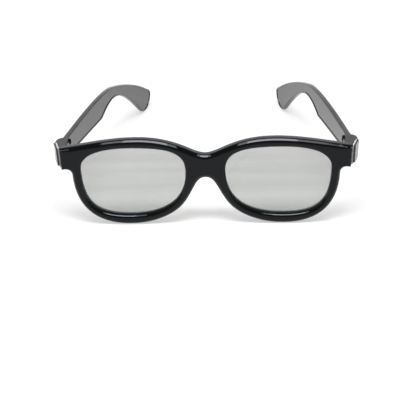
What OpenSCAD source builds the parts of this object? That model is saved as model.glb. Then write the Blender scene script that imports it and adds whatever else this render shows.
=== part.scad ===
// Polarized glasses with a two-part moulded front, laminated film lenses and folding temples.
// The pieces on the wearer's left are drawn on +X; those on the right are their mirror images.
// Front pieces are drawn upright, with x across, y back from the front face and z up
// from the rims' lowest point, and are then leaned back onto the table.

/* [Lenses] */
// Width of one lens opening
lens_w = 52.8; // [46:0.1:58]
// Height of one lens opening
lens_h = 37.6; // [32:0.1:42]
// Distance between the two lens openings
nose_gap = 19.8; // [16:0.1:23]
// How far the lens reaches under the frame, all round
lens_lip = 1.5; // [1:0.1:2]
// Thickness of the wave-retarder layer at the front of the lens
retarder_t = 0.25; // [0.15:0.05:0.4]
// Thickness of the polarizer layer behind it
polarizer_t = 0.55; // [0.3:0.05:0.8]

/* [Front] */
// Depth of the glossy front frame
front_t = 2.6; // [2.2:0.1:3.4]
// Depth of the rear frame behind it
rear_t = 3.4; // [2.6:0.1:4]
// Rim width below the lens
rim_bottom = 5; // [3.4:0.05:5.4]
// Rim width beside the lens
rim_side = 4.2; // [3:0.1:5]
// Rim width above the lens
rim_top = 4.4; // [3.4:0.05:5.6]
// Width of the front frame's rounded outer border, across its face
edge_w = 2.4; // [1.6:0.1:2.6]
// Depth of that border, down the frame's side
edge_d = 2.1; // [1.4:0.1:2.2]
// Width of the front frame's rounded border round the lens
inner_w = 1.7; // [0.6:0.1:1.8]
// Depth of that border
inner_d = 1.1; // [0.6:0.1:1.4]
// Radius of the rear frame's back edge
back_r = 0.7; // [0.5:0.1:1.2]
// Step from the front frame's outline in to the rear frame's
parting_step = 0.2; // [0.1:0.05:0.4]
// Drop of the bridge below the top of the rims
bridge_dip = 8.6; // [6:0.1:11]
// Height of the bridge, from the nose arch to its top
bridge_h = 12.1; // [10:0.1:14]
// How much wider the rounded border grows under the nose arch
arch_soft = 1.35; // [1:0.05:1.5]
// How far the frame leans back when it stands on the table
lean = 2; // [0:0.5:4]
// Depth of the flat feet under the rims
foot_flat = 0.2; // [0.1:0.05:0.4]

/* [End pieces] */
// Width of the end piece beyond the lens
end_w = 9.4; // [8:0.1:11]
// Height of the end piece
end_h = 11.3; // [10:0.1:13]
// Drop of the end piece's outer top corner below the top of the rims
end_drop = 4.4; // [2.5:0.1:6]
// Share of the rims' border width that is left at its outer side
end_soft = 0.4; // [0.3:0.05:1]
// Radius of its outer lower corner
end_corner_r = 1.5; // [0.4:0.1:2]
// Radius of the hollow between the end piece and the rim
end_fillet = 3; // [2:0.1:4]

/* [Nose pads] */
// How far the pads stand out behind the rear frame
pad_reach = 5.5; // [4:0.5:7]
// Thickness of a pad
pad_t = 1.6; // [1.4:0.1:2]
// How much a pad opens away from the nose over its reach
pad_flare = 0.8; // [0.4:0.1:1.5]

/* [Hinges] */
// Distance of the hinge axis behind the rear frame
hinge_reach = 7.9; // [7.4:0.1:9.5]
// Radius of the temple's knuckle
knuckle_r = 3.9; // [3.4:0.1:4.2]
// Thickness of each ear of the hinge housing
ear_t = 2; // [1.6:0.1:2.6]
// Radius of the rounded end of an ear
ear_r = 2.3; // [2:0.1:2.4]
// Radius of the hinge pin
pin_r = 0.8; // [0.6:0.05:1]
// Radial running clearance of the knuckle on the pin
pin_gap = 0.05; // [0.02:0.01:0.1]
// Clearance between the temple and the housing round it
hinge_gap = 0.3; // [0.2:0.05:0.5]
// Housing width inside the front's outer edge
housing_in = 3.5; // [3:0.1:5]
// Step of the housing's side out from the front's outer edge
housing_out = 0.1; // [0.1:0.05:0.6]
// Step from the end piece's top down to the housing's
housing_sink = 0.2; // [0.1:0.1:1.2]
// Step from the end piece's bottom up to the housing's
housing_step = 0.9; // [0.5:0.1:1.2]
// Angle by which the housing's side opens outwards
housing_flare = 19.5; // [15:0.5:26]
// Widest angle to which a temple folds
fold = 80; // [60:1:85]
// Thickness of the pad that holds the cover on the housing's side
pad_layer = 0.65; // [0.4:0.05:0.9]
// Thickness of the cover
cover_t = 0.95; // [0.7:0.05:1.4]
// Radius of the cover's lower corners
cover_r = 1.2; // [0.6:0.1:1.8]
// Height of the cover's lower edge above the pad's
cover_raise = 0.5; // [0.2:0.1:1]

/* [Temples] */
// Length along a temple from behind its knuckle to its end
temple_l = 142.8; // [125:0.1:155]
// Thickness of a temple
temple_t = 3; // [2.4:0.1:3.6]
// Height of a temple at its root
root_h = 9.6; // [9:0.1:11]
// How far the root of a temple sits below the top of its housing
root_drop = 1.4; // [0.5:0.1:2]
// Height of a temple at its deepest point, ahead of the ear
temple_h = 13.8; // [12:0.1:16]
// Height of a temple at the ear bend
bend_h = 8.7; // [7:0.1:10]
// Radius of a temple's long edges
temple_edge = 0.7; // [0.4:0.1:1]
// Depth of the shallow panel in a temple's inner face
panel_depth = 0.35; // [0.2:0.05:0.6]
// Border round that panel
panel_border = 1.1; // [0.8:0.1:1.6]
// Inward heading of a temple at its root
heading = 6.5; // [4:0.5:10]
// Plan radius of a temple's inward curve
plan_r = 830; // [600:10:1500]

/* [Hidden] */

// Running clearances and small fits
lens_gap = 0.15;
film_gap = 0.05;
back_flare = 0.6;
stop_gap = 0.1;
knuckle_sink = 0.7;
through = 1;
fine = 64;

// The feet lift the front's own zero below the table by this much
table_z = foot_flat * cos(lean);

// Lens opening, drawn for the left eye
lens_in = nose_gap / 2;
lens_out = lens_in + lens_w;
lens_low = rim_bottom;
lens_high = lens_low + lens_h;
lens_side_z = lens_low + 0.665 * lens_h;
lens_top_x = lens_in + 0.5 * lens_w;
lens_foot_x = lens_in + 0.555 * lens_w;

// Front outline
rim_x = lens_out + rim_side;
crest_x = lens_in + 0.46 * lens_w;
crest_z = lens_high + rim_top;
bridge_z = crest_z - bridge_dip;
arch_z = bridge_z - bridge_h;
end_x = lens_out + end_w;
end_top = crest_z - end_drop;
end_low = end_top - end_h;
frame_t = front_t + rear_t;
lens_t = retarder_t + polarizer_t;

// Hinge, in the front's own directions
hinge_y = frame_t + hinge_reach;
housing_y = hinge_y - knuckle_r - hinge_gap;
housing_top = end_top - housing_sink;
housing_low = end_low + housing_step;
slot_top = housing_top - ear_t - hinge_gap / 2;
slot_low = housing_low + ear_t + hinge_gap / 2;
knuckle_top = housing_top - knuckle_sink;
knuckle_low = housing_top - root_drop - root_h;
notch_r = ear_r + hinge_gap;

// Temple root, in the table's directions
root_x = end_x - 1;
root_y = hinge_y * cos(lean) + (housing_top + housing_low) / 2 * sin(lean) + knuckle_r - 0.3;
root_top = (housing_top - root_drop) * cos(lean) - hinge_y * sin(lean) - table_z;
root_low = root_top - root_h;
plan_centre = [root_x - plan_r * cos(heading), root_y - plan_r * sin(heading)];
root_overlap = 2.4;

// The origin lies midway between the front face and the temples' ends
rear_angle = heading + temple_l / plan_r * 180 / PI;
depth = plan_centre[1] + (plan_r + temple_t - temple_edge) * sin(rear_angle);
front_y = edge_w * sin(lean);

// Points of a cubic curve from a to d with handles b and c; the end point is left out
function curve(a, b, c, d, n) = [for (i = [0 : n - 1]) cubic(a, b, c, d, i / n)];
function cubic(a, b, c, d, t) = let (s = 1 - t)
    s * s * s * a + 3 * s * s * t * b + 3 * s * t * t * c + t * t * t * d;

// A quarter turn from a to b inside a corner, filled out by the shares fa and fb
function quarter(a, b, corner, fa, fb, n) =
    curve(a, a + fa * (corner - a), b + fb * (corner - b), b, n);

// A clockwise loop moved outwards by e, with mitred corners
function outward(a, b) = [a[1] - b[1], b[0] - a[0]] / norm(b - a);
function grown(loop, e, shaped = false) = let (n = len(loop)) [for (i = [0 : n - 1])
    let (before = outward(loop[(i + n - 1) % n], loop[i]), after = outward(loop[i], loop[(i + 1) % n]))
    loop[i] + e * (shaped ? share(loop[i]) : 1) * (before + after) / (1 + before * after)];

// The front's border is wider under the nose arch, and narrower towards the end pieces' outer sides
function share(p) = abs(p[0]) > shoulder[0] ?
    1 - (1 - end_soft) * max(0, (abs(p[0]) - rim_x) / (end_x - rim_x)) :
    p[1] > arch_z + bridge_h / 2 ? 1 : 1 + (arch_soft - 1) * (1 - pow(p[0] / shoulder[0], 2));
function mirrored(chain) = [for (i = [len(chain) - 1 : -1 : 0]) [-chain[i][0], chain[i][1]]];

// Depth and growth along a rounded edge, w wide across the face and d deep down the side
function rounding(w, d, n) = [for (k = [0 : n]) [d * (1 - cos(90 * k / n)), -w * (1 - sin(90 * k / n))]];
function reversed(list) = [for (i = [len(list) - 1 : -1 : 0]) list[i]];

// Ring of a front piece at depth y; the feet are cut level with the table
function ring(loop, y) = [for (p = loop) [p[0], y, max(p[1], foot_flat + y * tan(lean))]];

// Solid through rings of equal length, closed by strips between the two halves of a ring
module loft(rings) {
    n = len(rings[0]);
    last = (len(rings) - 1) * n;
    sides = [for (r = [0 : len(rings) - 2], i = [0 : n - 1])
        let (a = r * n + i, b = r * n + (i + 1) % n) each [[a, a + n, b + n], [a, b + n, b]]];
    caps = [for (j = [0 : n / 2 - 2]) let (k = n - 1 - j) each
        [[j, j + 1, k - 1], [j, k - 1, k],
        [last + j, last + k - 1, last + j + 1], [last + j, last + k, last + k - 1]]];
    polyhedron([for (r = rings) each r], concat(sides, caps), convexity = 8);
}

// Outline of the left lens opening
lens_nasal = [lens_in, lens_side_z];
lens_crown = [lens_top_x, lens_high];
lens_temporal = [lens_out, lens_side_z];
lens_foot = [lens_foot_x, lens_low];
nasal_low = [lens_in, lens_low];
nasal_fill = [0.59, 0.71];
lens_loop = concat(
    quarter(lens_nasal, lens_crown, [lens_in, lens_high], 0.74, 0.74, 12),
    quarter(lens_crown, lens_temporal, [lens_out, lens_high], 0.53, 0.82, 14),
    quarter(lens_temporal, lens_foot, [lens_out, lens_low], 0.77, 0.74, 14),
    quarter(lens_foot, lens_nasal, nasal_low, nasal_fill[0], nasal_fill[1], 12));

// The nose side of the rim leaves the lens halfway along the lens's lower nasal quarter
function nasal_quarter(t) = cubic(lens_foot, lens_foot + nasal_fill[0] * (nasal_low - lens_foot),
    lens_nasal + nasal_fill[1] * (nasal_low - lens_nasal), lens_nasal, t);
shoulder_out = outward(nasal_quarter(0.48), nasal_quarter(0.52));
shoulder = nasal_quarter(0.5) + rim_side * shoulder_out;
shoulder_up = [shoulder_out[1], -shoulder_out[0]];
arch_handles = [shoulder + 0.62 * (arch_z - shoulder[1]) * shoulder_up, [0.42 * shoulder[0], arch_z]];

// Outline of the front: its top from the bridge out to the end piece, and its underside back again
top_half = concat(
    curve([0, bridge_z], [0.19 * crest_x, bridge_z], [0.4 * crest_x, crest_z], [crest_x, crest_z], 22),
    curve([crest_x, crest_z], [crest_x + 0.37 * (end_x - crest_x), crest_z],
        [end_x - 0.31 * (end_x - crest_x), end_top + 0.035 * (end_x - crest_x)], [end_x, end_top], 20),
    [[end_x, end_top]]);
fillet_in = [rim_x, end_low - end_fillet];
under_half = concat(
    [[end_x, end_low]],
    quarter([rim_x + end_fillet, end_low], fillet_in, [rim_x, end_low], 0.55, 0.55, 6),
    quarter(fillet_in, [lens_foot_x, 0], [rim_x, 0], 0.66, 0.65, 15),
    curve([lens_foot_x, 0], [lens_foot_x * 0.72, 0], shoulder - 5.5 * shoulder_up, shoulder, 9),
    curve(shoulder, arch_handles[0], arch_handles[1], [0, arch_z], 12));
left_top = [for (p = mirrored(top_half)) if (p[0] < 0) p];
left_under = concat([[0, arch_z]], mirrored(under_half));
outline = concat(left_top, top_half, under_half, left_under);

// Solid of the front outline through steps of depth and growth
module front_slab(steps, shaped) loft([for (s = steps) ring(grown(outline, s[1], shaped), s[0])]);
module eye_cut(steps) loft([for (s = steps) [for (p = grown(lens_loop, s[1])) [p[0], s[0], p[1]]]]);
module both_sides() {
    children();
    mirror([1, 0, 0]) children();
}

// Stands a front piece on the table, and puts the origin under the middle of the glasses
module grounded() translate([0, -(depth + front_y) / 2, 0]) children();
module leaned() grounded() translate([0, 0, -table_z]) rotate([-lean, 0, 0]) children();

// Flat piece in the lens plane, from depth y back by t
module plate(loop, y, t) translate([0, y + t, 0]) rotate([90, 0, 0]) linear_extrude(t) polygon(loop);

// Rounds the end pieces' outer lower corners
module corner_cuts() both_sides()
    translate([end_x - end_corner_r, frame_t + through, end_low + end_corner_r]) rotate([90, 0, 0])
    linear_extrude(frame_t + 2 * through) difference() {
        translate([0, -end_corner_r - through]) square(end_corner_r + through);
        circle(r = end_corner_r, $fn = fine / 2);
    }

module front_frame() color([0.03, 0.03, 0.035]) leaned() difference() {
    front_slab(concat(rounding(edge_w, edge_d, 8), [[front_t, 0]]), true);
    corner_cuts();
    both_sides() eye_cut(concat([[-through, inner_w]],
        [for (s = rounding(inner_w, inner_d, 5)) [s[0], -s[1]]], [[front_t + through, 0]]));
}

// Nose pad: sections follow the rim's nose side, each a thin wall that opens away from the nose
pad_rows = 12;
pad_start = 0.12;
pad_span = 0.56;
function nose_side(t) = cubic(shoulder, arch_handles[0], arch_handles[1], [0, arch_z], t);
function pad_section(k) = let (
    t = pad_start + pad_span * k, face = nose_side(t),
    out = outward(nose_side(t - 0.01), nose_side(t + 0.01)),
    swell = 0.15 + 0.85 * sqrt(1 - pow(abs(2 * k - 1), 3)),
    reach = pad_reach * swell, open = pad_flare * swell,
    root = frame_t - back_r - 0.4, near = frame_t + 0.88 * reach, tip = frame_t + reach,
    wall = [[parting_step + 0.2, root], [parting_step + 0.2 + 0.8 * open, near],
        [parting_step + 0.6 + open, tip], [pad_t - 0.4 + open, tip],
        [pad_t + 0.8 * open, near], [pad_t + 0.2, root]])
    [for (w = wall) [face[0] - w[0] * out[0], w[1], face[1] - w[0] * out[1]]];
module nose_pad() loft([for (k = [pad_rows : -1 : 0]) pad_section(k / pad_rows)]);

// The housing's slanted side starts at the front frame's back and opens outwards
wall_front = [end_x + housing_out, front_t];
wall_l = (housing_y - front_t) / cos(housing_flare);
wall_h = housing_top - housing_low;
wall_back = wall_front + wall_l * [sin(housing_flare), cos(housing_flare)];

// Hinge housing with two ears that carry the pin
module housing() difference() {
    union() {
        translate([0, 0, housing_low]) linear_extrude(housing_top - housing_low)
            polygon([[end_x - housing_in, frame_t - rear_t / 2], [end_x - 0.5, frame_t - rear_t / 2],
                [end_x - 0.5, front_t], wall_front, wall_back, [end_x - housing_in, housing_y]]);
        for (z = [housing_low, housing_top - ear_t]) translate([end_x, 0, z]) {
            translate([-ear_r, housing_y - 1, 0]) cube([2 * ear_r, hinge_y - housing_y + 1, ear_t]);
            translate([0, hinge_y, 0]) cylinder(r = ear_r, h = ear_t, $fn = fine);
        }
    }
    // The pin is pressed up from below and stops inside the upper ear
    translate([end_x, hinge_y, housing_low - through])
        cylinder(r = pin_r, h = pin_end - housing_low + through, $fn = fine);
}
pin_end = housing_top - 0.8;

// Plate along the housing's side: its outline runs back and up from the side's lower front corner
module side_plate(loop, out, t) translate([wall_front[0], wall_front[1], housing_low])
    rotate([0, 0, 90 - housing_flare]) translate([0, -out, 0]) rotate([90, 0, 0])
    linear_extrude(t) polygon(loop);
cover_loop = concat(
    quarter([0, cover_raise + cover_r], [cover_r, cover_raise], [0, cover_raise], 0.55, 0.55, 5),
    [[cover_r, cover_raise]],
    quarter([wall_l - cover_r, cover_raise], [wall_l, cover_raise + cover_r], [wall_l, cover_raise],
        0.55, 0.55, 5),
    [[wall_l, cover_raise + cover_r], [wall_l, wall_h], [0, wall_h]]);

module rear_frame() color([0.1, 0.1, 0.105]) leaned() {
    difference() {
        union() {
            difference() {
                front_slab(concat([[front_t, -parting_step]], [for (s = reversed(rounding(back_r, back_r, 3)))
                    [frame_t - s[0], s[1] - parting_step]]), false);
                corner_cuts();
            }
            both_sides() nose_pad();
        }
        both_sides() {
            plate(grown(lens_loop, lens_lip + lens_gap), front_t - through, lens_t + film_gap + through);
            eye_cut([[front_t, 0], [front_t + lens_t + 0.5, 0], [frame_t, back_flare],
                [frame_t + pad_reach + through, back_flare]]);
        }
    }
    both_sides() housing();
}

module retarder() color([0.62, 0.65, 0.62, 0.35]) leaned()
    plate(grown(lens_loop, lens_lip), front_t, retarder_t);
module polarizer() color([0.5, 0.52, 0.5, 0.5]) leaned()
    plate(grown(lens_loop, lens_lip), front_t + retarder_t, polarizer_t);

module cover_pad() color([0.5, 0.5, 0.5]) leaned()
    side_plate([[0, 0], [wall_l, 0], [wall_l, wall_h], [0, wall_h]], 0, pad_layer);
module hinge_cover() color([0.07, 0.07, 0.075]) leaned() side_plate(cover_loop, pad_layer, cover_t);

module hinge_pin() color([0.7, 0.7, 0.72]) leaned()
    translate([end_x, hinge_y, housing_low]) cylinder(r = pin_r, h = pin_end - housing_low, $fn = fine);

// Side outline of a temple: distance along it from behind the knuckle, and height
bend_s = 0.55 * temple_l;
tail_top = [0.95 * temple_l, 0.365 * root_top];
tail_end = [temple_l, 0.21 * root_top];
tail_foot = [0.935 * temple_l, 0];
tail_heel = [0.885 * temple_l, 0.055 * root_top];
bend_top = [bend_s + 1, root_top - 3.3];
bend_low = [bend_s, root_top - 1.9 - bend_h];
belly = [0.405 * temple_l, root_top - 0.9 - temple_h];
root_under = [-root_overlap, root_low];
temple_top = concat(
    curve([-root_overlap, root_top], [0.21 * temple_l, root_top - 1.4],
        [bend_s - 17, root_top - 0.1], bend_top, 14),
    curve(bend_top, [bend_s + 19, root_top - 7.8], [tail_top[0] - 16.5, tail_top[1] + 9.8], tail_top, 12),
    curve(tail_top, tail_top + [3.6, -2.2], tail_end + [0.4, 3], tail_end, 6));
temple_under = concat(
    curve(tail_end, tail_end - [0.6, 4.6], tail_foot + [4, 0], tail_foot, 5),
    curve(tail_foot, tail_foot - [3, 0], tail_heel + [2.4, -2.1], tail_heel, 4),
    curve(tail_heel, tail_heel + [-10, 8.8], bend_low + [18, 0], bend_low, 9),
    curve(bend_low, bend_low - [9, 0], belly + [5.5, 1.5], belly, 6),
    curve(belly, belly + (root_under - belly) / 3 - [0, 0.6], belly + (root_under - belly) * 2 / 3 - [0, 0.6],
        root_under, 7), [root_under]);
temple_loop = concat(temple_top, temple_under);

// Carries a ring of the side outline onto the temple's curved plan, w outside its inner face
function bent(loop, w) = [for (p = loop) let (a = heading + p[0] / plan_r * 180 / PI)
    [plan_centre[0] + (plan_r + w) * cos(a), plan_centre[1] + (plan_r + w) * sin(a), p[1]]];
module temple_blade() difference() {
    edge = rounding(temple_edge, temple_edge, 3);
    loft([for (s = concat([for (e = edge) [temple_t - e[0], e[1]]], reversed(edge)))
        bent(grown(temple_loop, s[1]), s[0])]);
    intersection() {
        loft([for (w = [panel_depth, -through]) bent(grown(temple_loop, -panel_border), w)]);
        translate([-200, root_y + 7, -1]) cube([400, depth, root_top + 2]);
    }
}

// Space that the housing's ear and its stem need as the temple folds inwards
folded_ear = [-sin(fold), -cos(fold)];
folded_side = notch_r * [-cos(fold), sin(fold)];
notch_reach = 12;
module ear_notch(z, h) translate([end_x, hinge_y, z]) {
    cylinder(r = notch_r, h = h, $fn = fine);
    linear_extrude(h) polygon([[0, 0], folded_side, folded_side + notch_reach * folded_ear,
        [-notch_reach, -notch_reach], [notch_r, -notch_reach], [notch_r, 0]]);
}

module temple() color([0.12, 0.12, 0.125]) {
    difference() {
        union() {
            grounded() temple_blade();
            leaned() translate([end_x, hinge_y, knuckle_low]) {
                cylinder(r = knuckle_r, h = knuckle_top - knuckle_low, $fn = fine);
                // Shoulder that stops the open temple against the housing
                translate([0, housing_y + stop_gap - hinge_y, 0])
                    cube([knuckle_r, hinge_y - housing_y - stop_gap, knuckle_top - knuckle_low]);
            }
        }
        leaned() {
            ear_notch(slot_top, housing_top);
            ear_notch(slot_low - housing_top, housing_top);
            translate([end_x, hinge_y, 0]) cylinder(r = pin_r + pin_gap, h = crest_z, $fn = fine);
        }
    }
}

module on_right() mirror([1, 0, 0]) children();

front_frame();
rear_frame();
retarder();  // left_retarder
on_right() retarder();  // right_retarder
polarizer();  // left_polarizer
on_right() polarizer();  // right_polarizer
cover_pad();  // left_cover_pad
on_right() cover_pad();  // right_cover_pad
hinge_cover();  // left_hinge_cover
on_right() hinge_cover();  // right_hinge_cover
hinge_pin();  // left_hinge_pin
on_right() hinge_pin();  // right_hinge_pin
temple();  // left_temple
on_right() temple();  // right_temple
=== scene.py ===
import math
import bmesh
import bpy
from mathutils import Matrix, Vector


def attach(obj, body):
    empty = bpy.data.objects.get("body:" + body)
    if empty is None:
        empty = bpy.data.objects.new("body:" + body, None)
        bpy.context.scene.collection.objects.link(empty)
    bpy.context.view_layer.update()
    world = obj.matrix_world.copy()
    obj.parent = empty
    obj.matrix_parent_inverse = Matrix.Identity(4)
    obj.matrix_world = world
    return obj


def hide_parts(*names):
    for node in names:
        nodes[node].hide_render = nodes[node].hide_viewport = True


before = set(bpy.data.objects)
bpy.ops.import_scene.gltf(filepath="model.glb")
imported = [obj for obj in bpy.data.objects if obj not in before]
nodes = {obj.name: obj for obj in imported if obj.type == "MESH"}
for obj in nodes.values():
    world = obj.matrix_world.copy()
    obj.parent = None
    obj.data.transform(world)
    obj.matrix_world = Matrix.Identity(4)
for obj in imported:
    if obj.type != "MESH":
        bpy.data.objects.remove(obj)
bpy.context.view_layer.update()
print("CAD nodes loaded:", len(nodes))

# Camera on the photograph's view: distance and elevation were chosen, turn and roll fitted
photoCamera = {
    "target": (0.0, -0.07966, 0.0),  # middle of the front's foot line
    "distance": 0.4,
    "elevation": 31.5,
    "azimuth": 2.57,
    "roll": -1.81,
    "lens": 67.22,
    "sensorWidth": 36.0,
    "nearClip": 0.01,
    "shift": (0.0029, 0.0386),
}


def placeCamera(settings):
    turn = math.radians(settings["azimuth"])
    lift = math.radians(settings["elevation"])
    roll = math.radians(settings["roll"])
    back = Vector((
        math.sin(turn) * math.cos(lift), -math.cos(turn) * math.cos(lift), math.sin(lift)))
    right = Vector((math.cos(turn), math.sin(turn), 0))
    up = back.cross(right)
    tiltedRight = math.cos(roll) * right + math.sin(roll) * up
    tiltedUp = math.cos(roll) * up - math.sin(roll) * right
    data = bpy.data.cameras.new("photoCamera")
    data.lens = settings["lens"]
    data.sensor_width = settings["sensorWidth"]
    data.shift_x, data.shift_y = settings["shift"]
    data.clip_start = settings["nearClip"]
    camera = bpy.data.objects.new("photoCamera", data)
    turned = Matrix((tiltedRight, tiltedUp, back)).transposed().to_4x4()
    spot = Vector(settings["target"]) + back * settings["distance"]
    camera.matrix_world = Matrix.Translation(spot) @ turned
    bpy.context.scene.collection.objects.link(camera)
    bpy.context.scene.camera = camera


placeCamera(photoCamera)
print("camera placed")


# Short forms for laying out nodes
def addNode(tree, kind, at, **values):
    node = tree.nodes.new(kind)
    node.location = at
    for name, value in values.items():
        setattr(node, name, value)
    return node


def join(tree, source, target):
    tree.links.new(source, target)


def newGroup(name, inputs, outputs):
    group = bpy.data.node_groups.new(name, "ShaderNodeTree")
    for label, value in inputs.items():
        socket = group.interface.new_socket(label, in_out="INPUT", socket_type="NodeSocketFloat")
        socket.default_value = value
    for label in outputs:
        group.interface.new_socket(label, in_out="OUTPUT", socket_type="NodeSocketFloat")
    entry = addNode(group, "NodeGroupInput", (-900, 0))
    leave = addNode(group, "NodeGroupOutput", (700, 0))
    return group, entry, leave


def placeGroup(tree, group, at, **values):
    node = addNode(tree, "ShaderNodeGroup", at, node_tree=group)
    for label, value in values.items():
        node.inputs[label].default_value = value
    return node


def noise(tree, at, detail, scale=None, stretch=None):
    texture = addNode(tree, "ShaderNodeTexNoise", at)
    texture.inputs["Detail"].default_value = detail
    place = addNode(tree, "ShaderNodeTexCoord", (at[0] - 400, at[1]))
    if stretch:
        mapping = addNode(tree, "ShaderNodeMapping", (at[0] - 200, at[1]))
        mapping.inputs["Scale"].default_value = stretch
        join(tree, place.outputs["Object"], mapping.inputs["Vector"])
        join(tree, mapping.outputs["Vector"], texture.inputs["Vector"])
    else:
        join(tree, place.outputs["Object"], texture.inputs["Vector"])
    if scale:
        texture.inputs["Scale"].default_value = scale
    return texture


def remap(tree, at, source, low, high, newLow=0.0, newHigh=1.0):
    node = addNode(tree, "ShaderNodeMapRange", at)
    join(tree, source, node.inputs["Value"])
    node.inputs["From Min"].default_value = low
    node.inputs["From Max"].default_value = high
    node.inputs["To Min"].default_value = newLow
    node.inputs["To Max"].default_value = newHigh
    return node.outputs["Result"]


def combine(tree, at, operation, first, second):
    node = addNode(tree, "ShaderNodeMath", at, operation=operation)
    join(tree, first, node.inputs[0])
    join(tree, second, node.inputs[1])
    return node.outputs["Value"]


# Handling marks: soft smudges and hairline rubs, as a roughness and as a height
handlingMarks = {
    "inputs": {"Smudge Size": 60.0, "Rub Size": 900.0, "Base": 0.1, "Smudge": 0.1, "Rub": 0.05},
    "smudgeDetail": 3.0,
    "smudgeRange": (0.48, 0.72),  # noise levels between which a smudge comes in
    "rubDetail": 4.0,
    "rubRange": (0.56, 0.74),
}


def makeHandlingMarks(settings):
    group, entry, leave = newGroup("handlingMarks", settings["inputs"], ("Roughness", "Height"))
    smudges = noise(group, (-500, 200), settings["smudgeDetail"])
    rubs = noise(group, (-500, -200), settings["rubDetail"])
    join(group, entry.outputs["Smudge Size"], smudges.inputs["Scale"])
    join(group, entry.outputs["Rub Size"], rubs.inputs["Scale"])
    smudgeMask = remap(group, (-250, 200), smudges.outputs["Fac"], *settings["smudgeRange"])
    rubMask = remap(group, (-250, -200), rubs.outputs["Fac"], *settings["rubRange"])
    smudged = combine(group, (0, 200), "MULTIPLY", smudgeMask, entry.outputs["Smudge"])
    rubbed = combine(group, (0, -200), "MULTIPLY", rubMask, entry.outputs["Rub"])
    both = combine(group, (200, 0), "ADD", smudged, rubbed)
    total = combine(group, (400, 0), "ADD", both, entry.outputs["Base"])
    join(group, total, leave.inputs["Roughness"])
    join(group, rubMask, leave.inputs["Height"])
    return group


handlingGroup = makeHandlingMarks(handlingMarks)

# Mould grain: the fine even tooth of satin plastic, with a slow change of tone
mouldGrain = {
    "inputs": {"Grain Size": 5200.0, "Tone Size": 45.0},
    "grainDetail": 1.5,
    "toneDetail": 2.0,
    "toneRange": (0.3, 0.7),  # noise levels between which the tone changes
}


def makeMouldGrain(settings):
    group, entry, leave = newGroup("mouldGrain", settings["inputs"], ("Height", "Tone"))
    grain = noise(group, (-500, 200), settings["grainDetail"])
    tone = noise(group, (-500, -200), settings["toneDetail"])
    join(group, entry.outputs["Grain Size"], grain.inputs["Scale"])
    join(group, entry.outputs["Tone Size"], tone.inputs["Scale"])
    toneMask = remap(group, (-250, -200), tone.outputs["Fac"], *settings["toneRange"])
    join(group, grain.outputs["Fac"], leave.inputs["Height"])
    join(group, toneMask, leave.inputs["Tone"])
    return group


grainGroup = makeMouldGrain(mouldGrain)


def newMaterial(name, color, ior=1.5, metallic=0.0):
    material = bpy.data.materials.new(name)
    material.use_nodes = True
    shader = material.node_tree.nodes["Principled BSDF"]
    shader.inputs["Base Color"].default_value = (*color, 1)
    shader.inputs["IOR"].default_value = ior
    shader.inputs["Metallic"].default_value = metallic
    return material, material.node_tree, shader


def mixTones(tree, at, factor, first, second):
    mix = addNode(tree, "ShaderNodeMix", at, data_type="RGBA")
    join(tree, factor, mix.inputs["Factor"])
    mix.inputs["A"].default_value = (*first, 1)
    mix.inputs["B"].default_value = (*second, 1)
    return mix.outputs["Result"]


def bumpFrom(tree, at, height, strength, distance, under=None):
    bump = addNode(tree, "ShaderNodeBump", at)
    bump.inputs["Strength"].default_value = strength
    bump.inputs["Distance"].default_value = distance
    join(tree, height, bump.inputs["Height"])
    if under:
        join(tree, under, bump.inputs["Normal"])
    return bump.outputs["Normal"]


# Moulded plastic: tone and tooth from the mould grain, roughness from the handling marks
def mouldedPlastic(name, look):
    material, tree, shader = newMaterial(name, look["color"], look["ior"])
    shader.inputs["Specular Tint"].default_value = (*look["sheenTint"], 1)
    marks = placeGroup(tree, handlingGroup, (-700, 100), **look["marks"])
    skin = placeGroup(tree, grainGroup, (-700, -250), **look["grain"])
    tone = mixTones(tree, (-350, 250), skin.outputs["Tone"], look["color"], look["rubbedColor"])
    grained = bumpFrom(
        tree, (-450, -250), skin.outputs["Height"], look["grainStrength"], look["grainDepth"])
    rubbed = bumpFrom(
        tree, (-250, -150), marks.outputs["Height"], look["rubStrength"], look["rubDepth"],
        under=grained)
    join(tree, tone, shader.inputs["Base Color"])
    join(tree, marks.outputs["Roughness"], shader.inputs["Roughness"])
    join(tree, rubbed, shader.inputs["Normal"])
    return material


frontLook = {
    "color": (0.0018, 0.0019, 0.0022),
    "rubbedColor": (0.0028, 0.0029, 0.0032),
    "ior": 1.31,
    "sheenTint": (0.92, 0.95, 1.0),
    "marks": {"Base": 0.05, "Smudge": 0.05, "Rub": 0.03, "Smudge Size": 70.0, "Rub Size": 1100.0},
    "grain": {"Grain Size": 300.0, "Tone Size": 60.0},
    "grainStrength": 0.1,
    "grainDepth": 0.00002,
    "rubStrength": 0.05,
    "rubDepth": 0.000002,
}
glossyBlack = mouldedPlastic("glossyBlack", frontLook)

rearLook = {
    "color": (0.006, 0.0062, 0.0064),
    "rubbedColor": (0.03, 0.031, 0.033),
    "ior": 1.48,
    "sheenTint": (0.9, 0.95, 1.0),
    "marks": {"Base": 0.2, "Smudge": 0.08, "Rub": 0.05, "Smudge Size": 90.0, "Rub Size": 1200.0},
    "grain": {"Grain Size": 5200.0, "Tone Size": 220.0},
    "grainStrength": 0.3,
    "grainDepth": 0.00001,
    "rubStrength": 0.1,
    "rubDepth": 0.000003,
}
satinBlack = mouldedPlastic("satinBlack", rearLook)

# The temples are the rear frame's plastic, a little warmer and smoother
templeLook = dict(
    rearLook,
    color=(0.007, 0.0068, 0.007),
    rubbedColor=(0.034, 0.032, 0.033),
    ior=1.62,
    sheenTint=(1.0, 0.97, 0.98),
    marks=dict(rearLook["marks"], Base=0.09, Smudge=0.05))
templeBlack = mouldedPlastic("templeBlack", templeLook)

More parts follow.
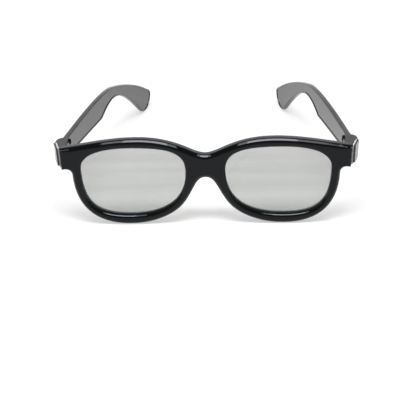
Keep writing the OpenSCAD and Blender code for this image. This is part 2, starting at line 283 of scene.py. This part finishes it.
# The hinge covers are the front's plastic, with a duller gloss
coverLook = dict(
    frontLook,
    color=(0.008, 0.008, 0.0085),
    rubbedColor=(0.012, 0.012, 0.0125),
    ior=1.5,
    marks={"Base": 0.14, "Smudge": 0.1, "Rub": 0.08, "Smudge Size": 120.0, "Rub Size": 1500.0})
coverBlack = mouldedPlastic("coverBlack", coverLook)

padLook = {
    "color": (0.62, 0.615, 0.62),
    "rubbedColor": (0.7, 0.695, 0.7),
    "ior": 1.45,
    "sheenTint": (1.0, 1.0, 1.0),
    "marks": {"Base": 0.55, "Smudge": 0.2, "Rub": 0.1, "Smudge Size": 200.0, "Rub Size": 2500.0},
    "grain": {"Grain Size": 7000.0, "Tone Size": 400.0},
    "grainStrength": 0.6,
    "grainDepth": 0.00003,
    "rubStrength": 0.1,
    "rubDepth": 0.000004,
}
padGrey = mouldedPlastic("padGrey", padLook)

# Films: a grey polarizer behind a nearly clear retarder, both faintly streaked lengthways
polarizerLook = {
    "color": (0.03, 0.085, 0.025),
    "ior": 1.9,
    "roughness": 0.06,
    "alpha": (0.286, 0.316),  # between streaks and in them
}
retarderLook = {
    "color": (0.5, 0.56, 0.5),
    "ior": 2.4,
    "roughness": 0.04,
    "alpha": (0.04, 0.06),
}
filmSurface = {
    "marks": {"Smudge": 0.08, "Rub": 0.04, "Smudge Size": 40.0},
    "streaks": {"scale": 160.0, "detail": 3.0, "stretch": (0.04, 1.0, 1.0)},
    "streakRange": (0.35, 0.65),
    "wave": {"scale": 35.0, "detail": 1.0, "stretch": (0.6, 1.0, 2.2)},
    "waveStrength": 0.2,
    "waveDepth": 0.0001,
}


def filmMaterial(name, look, surface):
    material, tree, shader = newMaterial(name, look["color"], look["ior"])
    marks = placeGroup(
        tree, handlingGroup, (-700, 0), Base=look["roughness"], **surface["marks"])
    streaks = noise(tree, (-700, 300), **surface["streaks"])
    density = remap(
        tree, (-300, 300), streaks.outputs["Fac"], *surface["streakRange"], *look["alpha"])
    wave = noise(tree, (-700, -300), **surface["wave"])
    waved = bumpFrom(
        tree, (-300, -250), wave.outputs["Fac"], surface["waveStrength"], surface["waveDepth"])
    join(tree, marks.outputs["Roughness"], shader.inputs["Roughness"])
    join(tree, density, shader.inputs["Alpha"])
    join(tree, waved, shader.inputs["Normal"])
    return material


polarizerFilm = filmMaterial("polarizerFilm", polarizerLook, filmSurface)
retarderFilm = filmMaterial("retarderFilm", retarderLook, filmSurface)

pinLook = {
    "color": (0.6, 0.6, 0.62),
    "metallic": 1.0,
    "marks": {"Base": 0.22, "Smudge": 0.15, "Rub": 0.25, "Rub Size": 2500.0},
    "rubStrength": 0.2,
    "rubDepth": 0.000004,
}


def pinMaterial(look):
    material, tree, shader = newMaterial("pinSteel", look["color"], metallic=look["metallic"])
    marks = placeGroup(tree, handlingGroup, (-700, 0), **look["marks"])
    rubbed = bumpFrom(
        tree, (-300, -150), marks.outputs["Height"], look["rubStrength"], look["rubDepth"])
    join(tree, marks.outputs["Roughness"], shader.inputs["Roughness"])
    join(tree, rubbed, shader.inputs["Normal"])
    return material


pinSteel = pinMaterial(pinLook)
print("materials made")

# Smooth moulded surfaces: welds the facets, clears the stored normals and rounds the shading
smoothing = {
    "weld": 0.000002,
    "sharpAngle": 32.0,  # folds steeper than this stay sharp
    "faceWeight": 80,
}


def makeSmoothSkin(settings):
    group = bpy.data.node_groups.new("smoothSkin", "GeometryNodeTree")
    sockets = group.interface
    sockets.new_socket("Geometry", in_out="INPUT", socket_type="NodeSocketGeometry")
    angle = sockets.new_socket("Sharp Angle", in_out="INPUT", socket_type="NodeSocketFloat")
    angle.default_value = math.radians(settings["sharpAngle"])
    sockets.new_socket("Geometry", in_out="OUTPUT", socket_type="NodeSocketGeometry")
    entry = addNode(group, "NodeGroupInput", (-900, 0))
    leave = addNode(group, "NodeGroupOutput", (600, 0))
    weld = addNode(group, "GeometryNodeMergeByDistance", (-700, 0))
    weld.inputs["Distance"].default_value = settings["weld"]
    clear = addNode(group, "GeometryNodeRemoveAttribute", (-500, 0))
    clear.inputs["Name"].default_value = "custom_normal"
    faces = addNode(group, "GeometryNodeSetShadeSmooth", (-300, 0), domain="FACE")
    faces.inputs["Shade Smooth"].default_value = True
    fold = addNode(group, "GeometryNodeInputMeshEdgeAngle", (-300, -250))
    flat = addNode(
        group, "FunctionNodeCompare", (-100, -250), data_type="FLOAT", operation="LESS_THAN")
    edges = addNode(group, "GeometryNodeSetShadeSmooth", (150, 0), domain="EDGE")
    join(group, entry.outputs["Geometry"], weld.inputs["Geometry"])
    join(group, weld.outputs["Geometry"], clear.inputs["Geometry"])
    join(group, clear.outputs["Geometry"], faces.inputs["Geometry"])
    join(group, fold.outputs["Unsigned Angle"], flat.inputs["A"])
    join(group, entry.outputs["Sharp Angle"], flat.inputs["B"])
    join(group, faces.outputs["Geometry"], edges.inputs["Geometry"])
    join(group, flat.outputs["Result"], edges.inputs["Shade Smooth"])
    join(group, edges.outputs["Geometry"], leave.inputs["Geometry"])
    return group


skinGroup = makeSmoothSkin(smoothing)

# Front shell: the front frame with its rounded borders drawn out into even bevels, which carry
# the long highlights. Depths are behind the front's face, in metres: as built, then as bevelled.
frontShell = {
    "lean": 2.0,  # degrees that the front leans back
    "faceY": -0.07966,
    "footDepth": 0.0002,  # how far the rims reached under the table before they were cut level
    "outerDepths": (0.000354, 0.000615, 0.000933, 0.001296, 0.00169, 0.0021),
    "outerBevel": (0.000354, 0.000785, 0.001163, 0.001443, 0.00164, 0.0021),
    "lensDepths": (0.000453, 0.00076, 0.0011),
    "lensBevel": (0.00064, 0.000945, 0.00108),
    "lensTolerance": 0.000006,
}


def bevelledDepth(depth, shell):
    moved = depth
    steps = list(zip(shell["outerDepths"], shell["outerBevel"]))
    for (low, newLow), (high, newHigh) in zip(steps, steps[1:]):
        if low < depth <= high:
            moved = newLow + (newHigh - newLow) * (depth - low) / (high - low)
    for old, new in zip(shell["lensDepths"], shell["lensBevel"]):  # rows of the lens borders
        if abs(depth - old) < shell["lensTolerance"]:
            moved = new
    return moved


def makeFrontShell(shell):
    lean = math.radians(shell["lean"])
    inward = Vector((0, math.cos(lean), -math.sin(lean)))
    foot = Vector((0, shell["faceY"], -shell["footDepth"]))
    mesh = nodes["front_frame"].data.copy()
    work = bmesh.new()
    work.from_mesh(mesh)
    for corner in work.verts:
        depth = (corner.co - foot).dot(inward)
        corner.co += (bevelledDepth(depth, shell) - depth) * inward
    work.to_mesh(mesh)
    work.free()
    piece = bpy.data.objects.new("front_frame_shell", mesh)
    bpy.context.scene.collection.objects.link(piece)
    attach(piece, "front")
    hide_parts("front_frame")
    return piece


frontPiece = makeFrontShell(frontShell)
print("front shell made")


def finishSurface(piece, material, evenSkin=True):
    piece.data.materials.clear()
    piece.data.materials.append(material)
    skin = piece.modifiers.new("smoothSkin", "NODES")
    skin.node_group = skinGroup
    if evenSkin:
        weighted = piece.modifiers.new("weightedNormals", "WEIGHTED_NORMAL")
        weighted.keep_sharp = True
        weighted.weight = smoothing["faceWeight"]


finishSurface(frontPiece, glossyBlack, evenSkin=False)
finishSurface(nodes["rear_frame"], satinBlack)
for side in ("left", "right"):
    finishSurface(nodes[side + "_temple"], templeBlack)
    finishSurface(nodes[side + "_hinge_cover"], coverBlack)
    finishSurface(nodes[side + "_cover_pad"], padGrey)
    finishSurface(nodes[side + "_hinge_pin"], pinSteel)
    finishSurface(nodes[side + "_retarder"], retarderFilm)
    finishSurface(nodes[side + "_polarizer"], polarizerFilm)
print("surfaces finished")

# Studio: a white table in white surroundings, which are dimmer above and by the camera in what
# the gloss mirrors. Two soft lamps share one place overhead, the narrower one above the wider,
# so that the long highlights fade out at their ends; two weak ones stand at the sides.
studio = {
    "tableSize": 6.0,
    "tableColor": (0.54, 0.515, 0.5),
    "tableRoughness": 0.7,
    "tableSheen": 0.1,
    "tableGlow": {"near": 0.52, "far": 0.9, "from": 0.2, "to": 0.9},  # strengths, then metres
    "roomOnSurfaces": 0.3,  # strength of the surroundings as a light
    "roomByCamera": {"level": 0.45, "from": 0.1, "to": 0.8},  # dim before this span of Y
    "roomAbove": {"level": 0.5, "from": 0.15, "to": 0.55},  # dim past this span of Z
    "lampColor": (0.92, 0.96, 1.0),  # slightly cool
    "lamps": {
        "overheadWide": {
            "at": (0.0, -0.24, 0.78), "aim": (0.0, -0.03, 0.02),
            "size": (0.66, 0.2), "power": 3.1},
        "overheadMiddle": {
            "at": (0.0, -0.24, 0.785), "aim": (0.0, -0.03, 0.02),
            "size": (0.42, 0.2), "power": 3.1},
        "rightSide": {
            "at": (0.7, 0.15, 0.5), "aim": (0.0, 0.0, 0.02),
            "size": (0.35, 0.35), "power": 0.5},
        "leftSide": {
            "at": (-0.7, 0.15, 0.5), "aim": (0.0, 0.0, 0.02),
            "size": (0.35, 0.35), "power": 0.4},
    },
}


def makeTable(settings):
    half = settings["tableSize"] / 2
    corners = [(-half, -half, 0), (half, -half, 0), (half, half, 0), (-half, half, 0)]
    mesh = bpy.data.meshes.new("tableTop")
    mesh.from_pydata(corners, [], [(0, 1, 2, 3)])
    table = bpy.data.objects.new("tableTop", mesh)
    bpy.context.scene.collection.objects.link(table)
    material, tree, shader = newMaterial("tableWhite", settings["tableColor"])
    shader.inputs["Roughness"].default_value = settings["tableRoughness"]
    shader.inputs["Specular IOR Level"].default_value = settings["tableSheen"]
    shader.inputs["Emission Color"].default_value = (1, 1, 1, 1)
    # The glow shows to the camera, in the gloss and through the films, but lights nothing
    path = addNode(tree, "ShaderNodeLightPath", (-900, -300))
    shown = combine(
        tree, (-700, -300), "MAXIMUM", path.outputs["Is Camera Ray"], path.outputs["Is Glossy Ray"])
    seen = combine(tree, (-500, -300), "MAXIMUM", shown, path.outputs["Is Transmission Ray"])
    glow = settings["tableGlow"]
    place = addNode(tree, "ShaderNodeTexCoord", (-1100, -600))
    reach = addNode(tree, "ShaderNodeVectorMath", (-900, -600), operation="LENGTH")
    join(tree, place.outputs["Object"], reach.inputs[0])
    spread = remap(
        tree, (-700, -600), reach.outputs["Value"],
        glow["from"], glow["to"], glow["near"], glow["far"])
    strength = combine(tree, (-300, -300), "MULTIPLY", seen, spread)
    join(tree, strength, shader.inputs["Emission Strength"])
    mesh.materials.append(material)


def makeRoom(settings):
    world = bpy.data.worlds.new("whiteRoom")
    world.use_nodes = True
    bpy.context.scene.world = world
    tree = world.node_tree
    background = tree.nodes["Background"]
    background.inputs["Color"].default_value = (1, 1, 1, 1)
    path = addNode(tree, "ShaderNodeLightPath", (-1300, 0))
    place = addNode(tree, "ShaderNodeTexCoord", (-1300, -400))
    parts = addNode(tree, "ShaderNodeSeparateXYZ", (-1100, -400))
    join(tree, place.outputs["Generated"], parts.inputs["Vector"])
    byCamera, above = settings["roomByCamera"], settings["roomAbove"]
    wall = remap(
        tree, (-900, -400), parts.outputs["Y"],
        byCamera["from"], byCamera["to"], byCamera["level"], 1.0)
    ceiling = remap(
        tree, (-900, -700), parts.outputs["Z"],
        above["from"], above["to"], 1.0, above["level"])
    room = combine(tree, (-750, -550), "MULTIPLY", wall, ceiling)
    # Gloss mirrors the dimmed room, plain surfaces get an even light
    mirrored = addNode(tree, "ShaderNodeMix", (-600, -200), data_type="FLOAT")
    mirrored.inputs["A"].default_value = settings["roomOnSurfaces"]
    join(tree, path.outputs["Is Glossy Ray"], mirrored.inputs["Factor"])
    join(tree, room, mirrored.inputs["B"])
    # The camera sees plain white, straight and through the films
    direct = combine(
        tree, (-600, 100), "MAXIMUM",
        path.outputs["Is Camera Ray"], path.outputs["Is Transmission Ray"])
    level = addNode(tree, "ShaderNodeMix", (-300, 0), data_type="FLOAT")
    level.inputs["B"].default_value = 1.0
    join(tree, direct, level.inputs["Factor"])
    join(tree, mirrored.outputs["Result"], level.inputs["A"])
    join(tree, level.outputs["Result"], background.inputs["Strength"])


def makeLamps(settings):
    for name, lamp in settings["lamps"].items():
        data = bpy.data.lights.new(name, "AREA")
        data.shape = "RECTANGLE"
        data.size, data.size_y = lamp["size"]
        data.energy = lamp["power"]
        data.color = settings["lampColor"]
        light = bpy.data.objects.new(name, data)
        light.location = lamp["at"]
        toAim = Vector(lamp["aim"]) - light.location
        light.rotation_euler = toAim.to_track_quat("-Z", "Y").to_euler()
        bpy.context.scene.collection.objects.link(light)


makeTable(studio)
makeRoom(studio)
makeLamps(studio)
bpy.context.scene.view_settings.view_transform = "Standard"
print("studio made")
